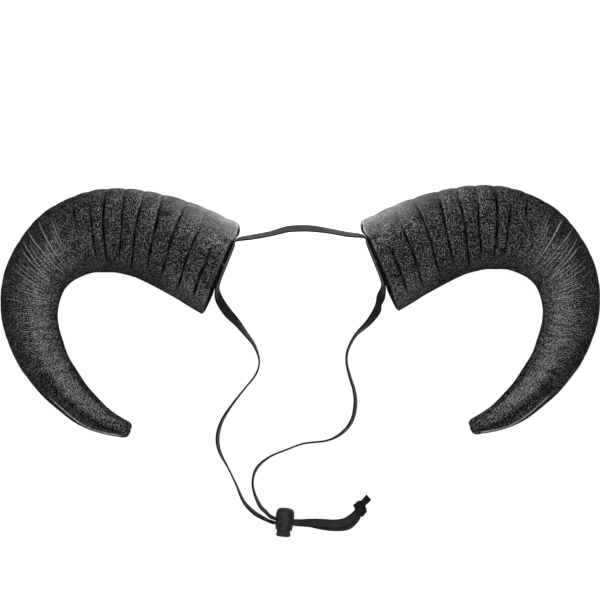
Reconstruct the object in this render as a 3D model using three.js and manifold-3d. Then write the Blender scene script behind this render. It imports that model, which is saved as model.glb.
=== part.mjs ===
// Ox horn headband: two padded horns on one flat elastic, which closes in a spring cord lock.
// It lies on a flat surface. Millimetres, +Z up, +Y towards the crown of the head.
// The origin is on the surface, at the middle of the pair of horns.
import * as THREE from "three";
import { mergeVertices } from "three/addons/utils/BufferGeometryUtils.js";
import Module from "manifold-3d";

const { degToRad, lerp, clamp, smoothstep } = THREE.MathUtils;
const wasm = await Module();
wasm.setup();

// Horns
const HORN_LENGTH = 288; // along the middle line
const HORN_SIDES = 20;
const DEPTH_SHARE = 0.88; // depth of a section as a share of its width
const LEAN_X = degToRad(4.2); // how the horn leans as it lies on its side: crown end up
const LEAN_Y = degToRad(-4.4); // and base up, above the bend
const SETTLE = 0.8; // how far the padding is flattened where it rests
const RIGHT_HORN_SHIFT = 2.2; // the right horn lies this much nearer the crown
const RIM_ROUND = 1.2; // rounding of the base's edge
const RIM_SHARE = 0.965; // width of the flat base as a share of the section's
const BASE_RING_SHARE = 0.5; // a ring half way out on the base

// Left horn's middle line, in even steps from base to tip, with the half width there
const HORN_ROWS = [
  { x: -55.6, y: 29.6, half: 33.6 },
  { x: -81.7, y: 43.3, half: 32.2 },
  { x: -108.4, y: 53.7, half: 30.3 },
  { x: -137.0, y: 56.5, half: 28.8 },
  { x: -164.5, y: 47.3, half: 25.8 },
  { x: -184.1, y: 26.3, half: 21.9 },
  { x: -190.1, y: -1.9, half: 19.9 },
  { x: -182.4, y: -29.8, half: 17.2 },
  { x: -166.4, y: -54.0, half: 14.2 },
  { x: -144.7, y: -73.4, half: 10.4 },
  { x: -118.8, y: -84.2, half: 5.2 },
];

// Creases across the horn: distance from the base, depth, and how far the crease
// runs ahead at the outer edge of the curve, in millimetres for half the width
const CREASES = [
  { at: 0, depth: 0.3, skew: 3 },
  { at: 9.8, depth: 1.2, skew: 3.2 },
  { at: 23.5, depth: 1.7, skew: 3.3 },
  { at: 36.9, depth: 1.8, skew: 3.2 },
  { at: 50, depth: 1.9, skew: 3 },
  { at: 63, depth: 1.9, skew: 1.8 },
  { at: 73, depth: 1.9, skew: 1 },
  { at: 84.5, depth: 1.8, skew: -1.2 },
  { at: 93.3, depth: 1.6, skew: -1.2 },
  { at: 101.8, depth: 1, skew: -2.2 },
  { at: 112, depth: 0.7, skew: -2.8 },
  { at: 121.5, depth: 0.7, skew: -3.2 },
  { at: 129.5, depth: 0.7, skew: -3.8 },
  { at: 137.5, depth: 0.7, skew: -4.6 },
  { at: 148, depth: 0.6, skew: -4.2 },
  { at: 158.5, depth: 0.6, skew: -3 },
  { at: 168, depth: 0.5, skew: -1.6 },
  { at: 182.5, depth: 0.5, skew: -2.4 },
  { at: 191.5, depth: 0.5, skew: -4.4 },
  { at: 203.5, depth: 0.4, skew: -5 },
  { at: 216.5, depth: 0.4, skew: -6 },
  { at: 234, depth: 0, skew: 0 },
];
const DEEP_CREASE = 0.9; // deeper creases have more sections between them
const RIB_STEPS = [0, 0.12, 0.35, 0.65, 0.88]; // sections of a rib between deep creases
const FOLD_STEPS = [0, 0.3, 0.7]; // sections of a soft fold
const TIP_STEPS = [244, 256, 268, 277, 283]; // distances of the plain sections after the last fold
const TIP_ROUND = [
  { at: 285.6, share: 0.9 },
  { at: 287.2, share: 0.66 },
];
const INNER_FADE = [-0.98, -0.6]; // a crease fades out between these shares of the half width
const OUTER_FADE = [0.5, 0.98];
const OUTER_DEPTH = 0.3; // share of its depth that a crease keeps at the outer edge

// Elastic
const STRAP_THICKNESS = 1.0;
const STRAP_WIDTH = 6.5;
const LOCK_STRAP_WIDTH = 5.0; // the cord lock bunches the elastic
const STRAP_CHAMFER = 0.3;

// Route of the elastic in order: x, y, lift of its underside above the surface, roll about
// its run (0 flat, 90 on edge), and its width where it is bunched
const LEFT_DROP = [
  { x: 40.6, y: -143.2, lift: 1.4, roll: 0, width: 4.5 },
  { x: 38.0, y: -146.6, lift: 0.5, roll: 0, width: 5.5 },
  { x: 32.6, y: -150.3, lift: 0, roll: 0 },
  { x: 23.8, y: -151.0, lift: 0, roll: 0 },
  { x: 15.4, y: -150.2, lift: 0.5, roll: 0, width: 6.2 },
  { x: 7.0, y: -148.7, lift: 3.0, roll: 0, width: 5.6 },
  { x: -1.4, y: -148.3, lift: 5.2, roll: 0, width: LOCK_STRAP_WIDTH },
  { x: -11.0, y: -147.7, lift: 5.2, roll: 0, width: 4.0 },
  { x: -17.6, y: -148.2, lift: 5.3, roll: -20, width: 2.5 },
  { x: -22.0, y: -146.9, lift: 4.6, roll: -62, width: 4.0 },
  { x: -26.8, y: -144.6, lift: 3.0, roll: -66, width: 5.6 },
  { x: -32.8, y: -140.8, lift: 1.2, roll: -68 },
  { x: -39.7, y: -133.3, lift: 0, roll: -76 },
  { x: -45.2, y: -121.0, lift: 0, roll: -86 },
  { x: -50.6, y: -109.8, lift: 0, roll: -88 },
  { x: -56.6, y: -98.2, lift: 0, roll: -76 },
  { x: -58.0, y: -88.1, lift: 0, roll: -70 },
  { x: -55.0, y: -76.9, lift: 0, roll: -75 },
  { x: -47.5, y: -65.0, lift: 0, roll: -83 },
  { x: -38.6, y: -53.7, lift: 0, roll: -88 },
  { x: -31.1, y: -44.0, lift: 0, roll: -87 },
  { x: -28.8, y: -34.4, lift: 0.4, roll: -88 },
  { x: -32.1, y: -24.0, lift: 3.0, roll: -76 },
  { x: -37.5, y: -16.5, lift: 7.5, roll: -63 },
  { x: -44.3, y: -7.8, lift: 13.5, roll: -40 },
  { x: -51.2, y: -0.4, lift: 19.0, roll: -6 },
  { x: -56.6, y: 8.0, lift: 23.0, roll: -24 },
];
const CROWN_RUN = [
  { x: -58.2, y: 14.6, lift: 25.2, roll: -60 },
  { x: -57.2, y: 21.0, lift: 26.0, roll: -78 },
  { x: -52.4, y: 33.2, lift: 26.4, roll: -78 },
  { x: -47.5, y: 45.5, lift: 26.4, roll: -78 },
  { x: -45.8, y: 48.8, lift: 26.2, roll: -90 },
  { x: -42.0, y: 50.6, lift: 25.4, roll: -110 },
  { x: -32.6, y: 52.2, lift: 22.0, roll: -112 },
  { x: -20.8, y: 54.4, lift: 18.6, roll: -115 },
  { x: -9.1, y: 57.5, lift: 17.0, roll: -127 },
  { x: 0, y: 58.2, lift: 16.6, roll: -129 },
  { x: 9.1, y: 57.9, lift: 17.0, roll: -127 },
  { x: 20.8, y: 56.2, lift: 18.6, roll: -115 },
  { x: 32.6, y: 54.0, lift: 22.0, roll: -112 },
  { x: 42.0, y: 52.8, lift: 25.4, roll: -110 },
  { x: 45.8, y: 51.0, lift: 26.2, roll: -90 },
  { x: 47.5, y: 47.7, lift: 26.4, roll: -78 },
  { x: 52.4, y: 35.4, lift: 26.4, roll: -78 },
  { x: 57.2, y: 23.2, lift: 26.0, roll: -78 },
  { x: 58.2, y: 16.8, lift: 25.2, roll: -60 },
];
const RIGHT_DROP = [
  { x: 56.4, y: 9.9, lift: 23.6, roll: -18 },
  { x: 54.9, y: 5.2, lift: 21.6, roll: 4, width: 4.8 },
  { x: 53.2, y: -0.4, lift: 18.4, roll: 28 },
  { x: 47.5, y: -8.2, lift: 12.5, roll: 50 },
  { x: 38.8, y: -16.9, lift: 6.0, roll: 74 },
  { x: 33.5, y: -26.8, lift: 1.5, roll: 80 },
  { x: 32.5, y: -35.6, lift: 0, roll: 82 },
  { x: 34.7, y: -45.5, lift: 0, roll: 78 },
  { x: 37.8, y: -55.7, lift: 0, roll: 74 },
  { x: 38.6, y: -65.7, lift: 0, roll: 70 },
  { x: 36.2, y: -76.5, lift: 0, roll: 71 },
  { x: 29.5, y: -85.1, lift: 0, roll: 76 },
  { x: 18.8, y: -90.6, lift: 0, roll: 85 },
  { x: 2.5, y: -92.7, lift: 0, roll: 87 },
  { x: -10.2, y: -97.2, lift: 0, roll: 88 },
  { x: -21.6, y: -102.1, lift: 0, roll: 85 },
  { x: -30.1, y: -109.4, lift: 0, roll: 78 },
  { x: -33.3, y: -118.2, lift: 0, roll: 83 },
  { x: -32.3, y: -127.1, lift: 0.4, roll: 81 },
  { x: -28.0, y: -136.7, lift: 2.4, roll: 72 },
  { x: -24.4, y: -140.4, lift: 3.6, roll: 68, width: 5.6 },
  { x: -21.4, y: -143.5, lift: 4.8, roll: 60, width: 4.0 },
  { x: -17.4, y: -145.4, lift: 5.9, roll: 20, width: 2.5 },
  { x: -11.0, y: -147.0, lift: 6.6, roll: 0, width: 4.0 },
  { x: -1.4, y: -148.2, lift: 6.6, roll: 0, width: LOCK_STRAP_WIDTH },
  { x: 7.0, y: -148.2, lift: 4.5, roll: 0, width: 5.6 },
  { x: 15.4, y: -148.6, lift: 2.1, roll: 6, width: 6.2 },
  { x: 23.8, y: -149.2, lift: 1.3, roll: 8 },
  { x: 31.5, y: -148.0, lift: 1.4, roll: 6 },
  { x: 36.5, y: -144.4, lift: 2.0, roll: 0, width: 5.5 },
  { x: 39.1, y: -141.5, lift: 3.0, roll: 0, width: 4.5 },
];

// Cord lock: heights along its axis, from the middle of the barrel towards its dome
const LOCK_PLACE = new THREE.Vector3(-10.9, -145.8, 6.5);
const LOCK_TURN = degToRad(-5.5); // of its axis away from the crown direction
const LOCK_SIDES = 24;
const BARREL_PROFILE = [
  { r: 5.4, h: -7.7 },
  { r: 5.8, h: -7.2 },
  { r: 6.3, h: -4.0 },
  { r: 6.5, h: 0 },
  { r: 6.5, h: 2.8 },
  { r: 6.2, h: 5.2 },
  { r: 5.3, h: 7.0 },
  { r: 3.4, h: 7.9 },
];
const BARREL_TOP = 8.2;
const BORE_RADIUS = 5.1;
const BORE_TOP = 5.9;
const PLUNGER_RADIUS = 4.8;
const PLUNGER_TOP = 3.0;
const PRESS = 2.0; // travel of the plunger
const PLUNGER_HEAD = [
  { r: 3.0, h: -12.4 },
  { r: 4.5, h: -12.0 },
  { r: 5.2, h: -11.1 },
  { r: 5.2, h: -10.4 },
  { r: 4.8, h: -9.7 },
];
const HOLE_HEIGHT = -1.6; // middle of the barrel's cross hole
const HOLE_GAP = 0.6; // between the elastic and the nearest edge of a hole
const HOLE_WIDTH = 3.4; // across the stack of two elastics
const HOLE_CORNER = 1.2;
const HOLE_CORNER_STEPS = 3;
const HOLE_REACH = 20; // right through the lock

// Knot: lobes of the wrapped elastic and the short free end
const KNOT_LOBES = [
  { x: 43.0, y: -139.3, z: 4.0, rx: 4.0, ry: 3.5, rz: 4.0, turn: 20 },
  { x: 41.5, y: -136.0, z: 4.3, rx: 3.9, ry: 3.5, rz: 4.0, turn: 55 },
];
const LOBE_SIDES = 14;
const LOBE_ROWS = 10;
const FREE_END = [
  { x: 42.6, y: -135.7, z: 4.2, width: 4.0 },
  { x: 45.4, y: -133.0, z: 3.6, width: 4.4 },
  { x: 47.9, y: -130.5, z: 2.4, width: 5.2 },
];
const FREE_END_THICKNESS = 2.0; // both elastics together

// Looks
const HORN_LOOK = { color: 0x3c3b3c, roughness: 0.95, metalness: 0 };
const STRAP_LOOK = { color: 0x2c2c2e, roughness: 0.8, metalness: 0 };
const LOCK_LOOK = { color: 0x454446, roughness: 0.55, metalness: 0 };
const KNOT_LOOK = { color: 0x1c1c1e, roughness: 0.85, metalness: 0 };

const UP = new THREE.Vector3(0, 0, 1);
const MERGE_DISTANCE = 1e-4;

// A closed solid through rings of points, each ring closed by a fan to its middle at the ends.
function loftGeometry(rings) {
  const sides = rings[0].length;
  const points = rings.flat();
  const faces = [];
  for (let row = 0; row + 1 < rings.length; row++) {
    for (let side = 0; side < sides; side++) {
      const a = row * sides + side;
      const b = row * sides + ((side + 1) % sides);
      faces.push(a, b, b + sides, a, b + sides, a + sides);
    }
  }
  const first = points.push(middleOf(rings[0])) - 1;
  const last = points.push(middleOf(rings.at(-1))) - 1;
  const end = (rings.length - 1) * sides;
  for (let side = 0; side < sides; side++) {
    const next = (side + 1) % sides;
    faces.push(first, next, side);
    faces.push(last, end + side, end + next);
  }
  return new THREE.BufferGeometry().setFromPoints(points).setIndex(faces);
}

function middleOf(ring) {
  const sum = new THREE.Vector3();
  ring.forEach((point) => sum.add(point));
  return sum.divideScalar(ring.length);
}

// Solids for joining and cutting.
function solidOf(geometry) {
  const bare = geometry.index ? geometry.toNonIndexed() : geometry.clone();
  bare.deleteAttribute("normal");
  bare.deleteAttribute("uv");
  const merged = mergeVertices(bare, MERGE_DISTANCE);
  return new wasm.Manifold(
    new wasm.Mesh({
      numProp: 3,
      vertProperties: merged.attributes.position.array,
      triVerts: new Uint32Array(merged.index.array),
    }),
  );
}

function geometryOf(solid) {
  const mesh = solid.getMesh();
  return new THREE.BufferGeometry()
    .setAttribute("position", new THREE.BufferAttribute(mesh.vertProperties, 3))
    .setIndex(new THREE.BufferAttribute(mesh.triVerts, 1));
}

function pieceOf(name, geometry, look) {
  const piece = new THREE.Mesh(geometry, new THREE.MeshStandardMaterial(look));
  piece.name = name;
  return piece;
}

// Horns

const hornCurve = new THREE.CatmullRomCurve3(
  HORN_ROWS.map((row) => new THREE.Vector3(row.x, row.y, row.half)),
  false,
  "catmullrom",
);

// Middle point, running direction, outward direction and half width at a distance from the base.
function hornFrame(distance) {
  const share = clamp(distance / HORN_LENGTH, 0, 1);
  const row = hornCurve.getPoint(share);
  const along = hornCurve.getTangent(share).setZ(0).normalize();
  const beyond = distance - share * HORN_LENGTH;
  const middle = new THREE.Vector3(row.x, row.y, 0).addScaledVector(along, beyond);
  const outward = new THREE.Vector3(along.y, -along.x, 0);
  return { middle, along, outward, half: row.z };
}

// Depth and skew of the creases at a distance from the base: the padding swells between two creases.
function creaseAt(distance) {
  const next = CREASES.findIndex((crease) => crease.at > distance);
  if (next < 1) {
    return { depth: 0, skew: 0 };
  }
  const [before, after] = [CREASES[next - 1], CREASES[next]];
  const share = (distance - before.at) / (after.at - before.at);
  const swell = Math.sqrt(4 * share * (1 - share));
  return {
    depth: lerp(before.depth, after.depth, share) * (1 - swell),
    skew: lerp(before.skew, after.skew, share),
  };
}

function creaseShare(across) {
  const inner = smoothstep(across, ...INNER_FADE);
  const outer = 1 - (1 - OUTER_DEPTH) * smoothstep(across, ...OUTER_FADE);
  return inner * outer;
}

function hornSection(distance, share = 1) {
  const { depth, skew } = creaseAt(distance);
  return hornRing((across) => {
    const frame = hornFrame(distance + skew * across);
    const size = share * (frame.half - depth * creaseShare(across));
    return { frame, size, beyond: 0 };
  });
}

// A ring on the flat base, which is cut askew.
function baseRing(share) {
  const frame = hornFrame(0);
  const { skew } = CREASES[0];
  return hornRing((across) => ({
    frame,
    size: share * frame.half,
    beyond: share * skew * across,
  }));
}

function hornRing(sizing) {
  const ring = [];
  for (let side = 0; side < HORN_SIDES; side++) {
    const angle = (-2 * Math.PI * side) / HORN_SIDES;
    const across = Math.cos(angle);
    const up = Math.sin(angle);
    const { frame, size, beyond } = sizing(across);
    ring.push(
      frame.middle
        .clone()
        .addScaledVector(frame.along, beyond)
        .addScaledVector(frame.outward, size * across)
        .addScaledVector(UP, DEPTH_SHARE * size * up),
    );
  }
  return ring;
}

function hornDistances() {
  const distances = [RIM_ROUND];
  for (let row = 0; row + 1 < CREASES.length; row++) {
    const [before, after] = [CREASES[row], CREASES[row + 1]];
    const steps = before.depth > DEEP_CREASE ? RIB_STEPS : FOLD_STEPS;
    steps.forEach((step) => distances.push(lerp(before.at, after.at, step)));
  }
  return distances.filter((distance) => distance >= RIM_ROUND).concat(CREASES.at(-1).at, TIP_STEPS);
}

// The left horn as it lies: leaned over, then flattened a little where it meets the surface.
function hornGeometry() {
  const rings = [
    baseRing(BASE_RING_SHARE),
    baseRing(RIM_SHARE),
    ...hornDistances().map((distance) => hornSection(distance)),
    ...TIP_ROUND.map((row) => hornSection(row.at, row.share)),
  ];
  const geometry = loftGeometry(rings);
  geometry.rotateX(LEAN_X).rotateY(LEAN_Y);
  geometry.computeBoundingBox();
  geometry.translate(0, 0, -geometry.boundingBox.min.z - SETTLE);
  const places = geometry.attributes.position;
  for (let index = 0; index < places.count; index++) {
    places.setZ(index, Math.max(places.getZ(index), 0));
  }
  return geometry;
}

function makeHorns() {
  const left = pieceOf("horn_left", hornGeometry(), HORN_LOOK);
  const right = pieceOf("horn_right", hornGeometry(), HORN_LOOK);
  right.scale.x = -1;
  right.position.y = RIGHT_HORN_SHIFT;
  return [left, right];
}

// Elastic

function strapRing(place, along, roll, width) {
  const side = new THREE.Vector3().crossVectors(UP, along).normalize();
  const top = new THREE.Vector3().crossVectors(along, side);
  const turn = degToRad(roll);
  const across = side.clone().multiplyScalar(Math.cos(turn)).addScaledVector(top, -Math.sin(turn));
  const face = top.clone().multiplyScalar(Math.cos(turn)).addScaledVector(side, Math.sin(turn));
  const [w, t] = [width / 2, STRAP_THICKNESS / 2];
  const c = STRAP_CHAMFER;
  const corners = [
    [w, -t + c],
    [w, t - c],
    [w - c, t],
    [c - w, t],
    [-w, t - c],
    [-w, c - t],
    [c - w, -t],
    [w - c, -t],
  ];
  return corners.map(([a, f]) =>
    place.clone().addScaledVector(across, a).addScaledVector(face, f),
  );
}

// Height of the middle of the elastic above its lowest edge.
function restHeight(roll, width) {
  const turn = degToRad(Math.abs(roll));
  return (width / 2) * Math.sin(turn) + (STRAP_THICKNESS / 2) * Math.abs(Math.cos(turn));
}

function makeStrap() {
  const route = [...LEFT_DROP, ...CROWN_RUN, ...RIGHT_DROP];
  const places = route.map(({ x, y, lift, roll, width = STRAP_WIDTH }) =>
    new THREE.Vector3(x, y, lift + restHeight(roll, width)),
  );
  const rings = route.map(({ roll, width = STRAP_WIDTH }, index) => {
    const before = places[Math.max(index - 1, 0)];
    const after = places[Math.min(index + 1, places.length - 1)];
    const along = after.clone().sub(before).normalize();
    return strapRing(places[index], along, roll, width);
  });
  return pieceOf("elastic_strap", loftGeometry(rings), STRAP_LOOK);
}

// Cord lock

// A slot through the lock, across its axis, for elastic that is a given width.
function crossHole(low, high) {
  const [w, c] = [HOLE_WIDTH / 2, HOLE_CORNER];
  const outline = new THREE.Shape();
  outline.moveTo(-w + c, low);
  outline.lineTo(w - c, low);
  outline.absarc(w - c, low + c, c, -Math.PI / 2, 0);
  outline.lineTo(w, high - c);
  outline.absarc(w - c, high - c, c, 0, Math.PI / 2);
  outline.lineTo(-w + c, high);
  outline.absarc(-w + c, high - c, c, Math.PI / 2, Math.PI);
  outline.lineTo(-w, low + c);
  outline.absarc(-w + c, low + c, c, Math.PI, 1.5 * Math.PI);
  const hole = new THREE.ExtrudeGeometry(outline, {
    depth: HOLE_REACH,
    bevelEnabled: false,
    curveSegments: HOLE_CORNER_STEPS,
  });
  return hole.translate(0, 0, -HOLE_REACH / 2);
}

// The lathe's axis is Y. The hole's width lies along X there, and its run along Z.
function lathed(profile) {
  const points = profile.map(({ r, h }) => new THREE.Vector2(r, h));
  return new THREE.LatheGeometry(points, LOCK_SIDES);
}

function makeLock() {
  const strapLow = HOLE_HEIGHT - LOCK_STRAP_WIDTH / 2;
  const strapHigh = HOLE_HEIGHT + LOCK_STRAP_WIDTH / 2;
  const barrel = solidOf(
    lathed([
      { r: 0, h: BORE_TOP },
      { r: BORE_RADIUS, h: BORE_TOP },
      { r: BORE_RADIUS, h: BARREL_PROFILE[0].h },
      ...BARREL_PROFILE,
      { r: 0, h: BARREL_TOP },
    ]),
  ).subtract(solidOf(crossHole(strapLow - HOLE_GAP, strapHigh + HOLE_GAP)));
  const plunger = solidOf(
    lathed([
      { r: 0, h: PLUNGER_HEAD[0].h },
      ...PLUNGER_HEAD,
      { r: PLUNGER_RADIUS, h: PLUNGER_TOP },
      { r: 0, h: PLUNGER_TOP },
    ]),
  ).subtract(solidOf(crossHole(strapLow - HOLE_GAP - PRESS, strapHigh + HOLE_GAP)));
  const lock = new THREE.Group();
  lock.add(
    pieceOf("cord_lock_barrel", geometryOf(barrel).rotateY(Math.PI / 2), LOCK_LOOK),
    pieceOf("cord_lock_plunger", geometryOf(plunger).rotateY(Math.PI / 2), LOCK_LOOK),
  );
  lock.position.copy(LOCK_PLACE);
  lock.rotation.z = LOCK_TURN;
  return lock;
}

// Knot

function makeKnot() {
  const lobes = KNOT_LOBES.map(({ x, y, z, rx, ry, rz, turn }) => {
    const lobe = new THREE.SphereGeometry(1, LOBE_SIDES, LOBE_ROWS);
    lobe.scale(rx, ry, rz).rotateZ(degToRad(turn)).translate(x, y, z);
    return solidOf(lobe);
  });
  const places = FREE_END.map(({ x, y, z }) => new THREE.Vector3(x, y, z));
  const along = places.at(-1).clone().sub(places[0]).normalize();
  const side = new THREE.Vector3().crossVectors(UP, along).normalize();
  const top = new THREE.Vector3().crossVectors(along, side);
  const rings = FREE_END.map(({ width }, index) =>
    [
      [1, -1],
      [1, 1],
      [-1, 1],
      [-1, -1],
    ].map(([a, t]) =>
      places[index]
        .clone()
        .addScaledVector(side, (a * width) / 2)
        .addScaledVector(top, (t * FREE_END_THICKNESS) / 2),
    ),
  );
  const knot = lobes.reduce((all, lobe) => all.add(lobe), solidOf(loftGeometry(rings)));
  return pieceOf("strap_knot", geometryOf(knot), KNOT_LOOK);
}

const headband = new THREE.Group();
headband.name = "ox_horn_headband";
headband.add(...makeHorns(), makeStrap(), makeLock(), makeKnot());

export default headband;
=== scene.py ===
"""Looks of an ox horn headband: two padded horns on a flat elastic that closes in a spring cord lock.

Metres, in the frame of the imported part: +Z up, +Y towards the crown of the head, lying on the floor.
"""

import math

import bmesh
import bpy
import numpy as np
from mathutils import Matrix, Vector


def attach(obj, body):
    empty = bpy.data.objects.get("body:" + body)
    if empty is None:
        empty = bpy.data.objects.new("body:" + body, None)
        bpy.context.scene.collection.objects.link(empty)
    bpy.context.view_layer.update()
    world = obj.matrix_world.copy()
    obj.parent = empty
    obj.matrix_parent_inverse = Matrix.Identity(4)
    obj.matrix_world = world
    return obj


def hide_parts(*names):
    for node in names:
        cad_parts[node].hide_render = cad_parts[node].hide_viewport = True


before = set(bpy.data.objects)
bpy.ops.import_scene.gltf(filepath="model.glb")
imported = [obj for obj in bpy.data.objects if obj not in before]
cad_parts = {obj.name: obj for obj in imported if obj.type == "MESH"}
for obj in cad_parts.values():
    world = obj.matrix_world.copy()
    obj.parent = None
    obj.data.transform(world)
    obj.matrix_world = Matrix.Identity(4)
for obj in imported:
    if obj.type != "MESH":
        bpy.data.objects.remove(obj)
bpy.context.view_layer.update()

BODY = "headband"
PLUNGER_BODY = "plunger"
SEED = 7
UP = np.array([0.0, 0.0, 1.0])
FULL_TURN = 2 * math.pi

# Camera: straight down, at the photograph's scale
PHOTO_SIDE = 600
PIXEL = 0.0007
VIEW_MIDDLE = Vector((-0.0002, 0.0080, 0.030))
CAMERA_DISTANCE = 12.0
CAMERA_REACH = 120.0

# Lights: name, place, aim, size, power, and whether it shows in gloss
LIGHTS = [
    ("overhead", (0.0, 0.15, 1.80), (0.0, 0.0, 0.0), 2.60, 54.0, True),
    ("crown_side", (0.0, 0.14, 0.026), (0.0, 0.0, 0.03), 0.05, 1.6, False),
]
# Light from around: height of its direction where it starts and is full, strength
SKY = (-0.05, 0.55, 0.25)
FLOOR_BOUNCE = (0.05, -0.60, 0.45)
FLOOR_RADIUS = 9.0
FLOOR_SIDES = 96
FLOOR_DROP = 0.0001
FLOOR_COLOUR = 0.12
FLOOR_GLOW = 0.92

# Materials: a colour is red, green and blue, or one grey
NOISE_RANGE = (0.3, 0.7)  # where most of a noise lies
NEAR_BLACK = 0.0008
FLECK_COLOURS = [
    (0.20, NEAR_BLACK),
    (0.42, (0.003, 0.003, 0.0031)),
    (0.56, (0.011, 0.011, 0.0112)),
    (0.70, (0.048, 0.048, 0.0485)),
    (0.90, 0.27),
]
PATCH_CHANGE = (-0.03, 0.03)
# strength of the painted light and shade over areas of the cover
PAINTED_SHADING_CHANGE = 0.13
# pale colour of the stretch lines and stitches, also used for painted highlights
PALE_AND_HIGHLIGHT_COLOUR = 0.54
WEAVE_COLOURS = (NEAR_BLACK, (0.0024, 0.0024, 0.0025))
WEAR_COLOUR = (0.0025, 0.0025, 0.0026)
LINT_COLOUR = 0.03
SELVEDGE_COLOUR = 0.001
MOTTLE_COLOURS = [(0.33, (0.004, 0.004, 0.0041)), (0.67, (0.027, 0.027, 0.0275))]
THREAD_COLOURS = [(0.3, 0.02), (0.7, 0.09)]

# Elastic
STRAP_THICKNESS = 0.0010
STRAP_WIDTH = 0.0065
LOCK_STRAP_WIDTH = 0.0050
ROUTE_STEPS = 8  # rings from one point of its route to the next
BAND_SIDE_STEPS = 20
BAND_RIBS = 5
BAND_RIB_HEIGHT = 0.00007
BAND_EDGE = 20  # the higher, the squarer its edges
SELVEDGE = (0.70, 0.95)  # shares of the half width where it starts and is full

# Route of the elastic in order: x, y, lift of its underside above the floor,
# roll about its run in degrees (0 flat, 90 on edge), and its width where it is bunched
LEFT_DROP = [
    (0.0406, -0.1432, 0.0014, 0, 0.0045),
    (0.0380, -0.1466, 0.0005, 0, 0.0055),
    (0.0326, -0.1503, 0.0, 0),
    (0.0238, -0.1510, 0.0, 0),
    (0.0154, -0.1502, 0.0005, 0, 0.0062),
    (0.0070, -0.1487, 0.0030, 0, 0.0056),
    (-0.0014, -0.1483, 0.0052, 0, LOCK_STRAP_WIDTH),
    (-0.0110, -0.1477, 0.0052, 0, 0.0040),
    (-0.0176, -0.1482, 0.0053, -20, 0.0025),
    (-0.0220, -0.1469, 0.0046, -62, 0.0040),
    (-0.0268, -0.1446, 0.0030, -66, 0.0056),
    (-0.0328, -0.1408, 0.0012, -68),
    (-0.0397, -0.1333, 0.0, -76),
    (-0.0452, -0.1210, 0.0, -86),
    (-0.0506, -0.1098, 0.0, -88),
    (-0.0566, -0.0982, 0.0, -76),
    (-0.0580, -0.0881, 0.0, -70),
    (-0.0550, -0.0769, 0.0, -75),
    (-0.0475, -0.0650, 0.0, -83),
    (-0.0386, -0.0537, 0.0, -88),
    (-0.0311, -0.0440, 0.0, -87),
    (-0.0288, -0.0344, 0.0004, -88),
    (-0.0321, -0.0240, 0.0030, -76),
    (-0.0375, -0.0165, 0.0075, -63),
    (-0.0443, -0.0078, 0.0135, -40),
    (-0.0512, -0.0004, 0.0190, -6),
    (-0.0566, 0.0080, 0.0230, -24),
]
CROWN_RUN = [
    (-0.0582, 0.0146, 0.0252, -60),
    (-0.0570, 0.0209, 0.0260, -71),
    (-0.0522, 0.0331, 0.0264, -71),
    (-0.0473, 0.0454, 0.0264, -72),
    (-0.0457, 0.0488, 0.0262, -90),
    (-0.0420, 0.0506, 0.0254, -112),
    (-0.0326, 0.0522, 0.0220, -120),
    (-0.0208, 0.0544, 0.0186, -123),
    (-0.0091, 0.0575, 0.0170, -133),
    (0.0, 0.0582, 0.0166, -135),
    (0.0091, 0.0579, 0.0170, -133),
    (0.0208, 0.0562, 0.0186, -123),
    (0.0326, 0.0540, 0.0220, -120),
    (0.0420, 0.0528, 0.0254, -112),
    (0.0457, 0.0510, 0.0262, -90),
    (0.0473, 0.0476, 0.0264, -72),
    (0.0522, 0.0353, 0.0264, -71),
    (0.0570, 0.0231, 0.0260, -71),
    (0.0582, 0.0168, 0.0252, -60),
]
RIGHT_DROP = [
    (0.0564, 0.0099, 0.0236, -18),
    (0.0549, 0.0052, 0.0216, 4, 0.0048),
    (0.0532, -0.0004, 0.0184, 28),
    (0.0475, -0.0082, 0.0125, 50),
    (0.0388, -0.0169, 0.0060, 74),
    (0.0335, -0.0268, 0.0015, 80),
    (0.0325, -0.0356, 0.0, 82),
    (0.0347, -0.0455, 0.0, 78),
    (0.0378, -0.0557, 0.0, 74),
    (0.0386, -0.0657, 0.0, 70),
    (0.0362, -0.0765, 0.0, 71),
    (0.0295, -0.0851, 0.0, 76),
    (0.0188, -0.0906, 0.0, 85),
    (0.0025, -0.0927, 0.0, 87),
    (-0.0102, -0.0972, 0.0, 88),
    (-0.0216, -0.1021, 0.0, 85),
    (-0.0301, -0.1094, 0.0, 78),
    (-0.0333, -0.1182, 0.0, 83),
    (-0.0323, -0.1271, 0.0004, 81),
    (-0.0280, -0.1367, 0.0024, 72),
    (-0.0244, -0.1404, 0.0036, 68, 0.0056),
    (-0.0214, -0.1435, 0.0048, 60, 0.0040),
    (-0.0174, -0.1454, 0.0059, 20, 0.0025),
    (-0.0110, -0.1470, 0.0066, 0, 0.0040),
    (-0.0014, -0.1482, 0.0066, 0, LOCK_STRAP_WIDTH),
    (0.0070, -0.1482, 0.0045, 0, 0.0056),
    (0.0154, -0.1486, 0.0021, 6, 0.0062),
    (0.0238, -0.1492, 0.0013, 8),
    (0.0315, -0.1480, 0.0014, 6),
    (0.0365, -0.1444, 0.0020, 0, 0.0055),
    (0.0391, -0.1415, 0.0030, 0, 0.0045),
]
KNOT_START = [(0.0422, -0.1408, 0.0024, 0, 0.0042)]  # where the elastic goes on inside the knot
KNOT_END = [(0.0409, -0.1393, 0.0038, 0, 0.0042)]

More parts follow.
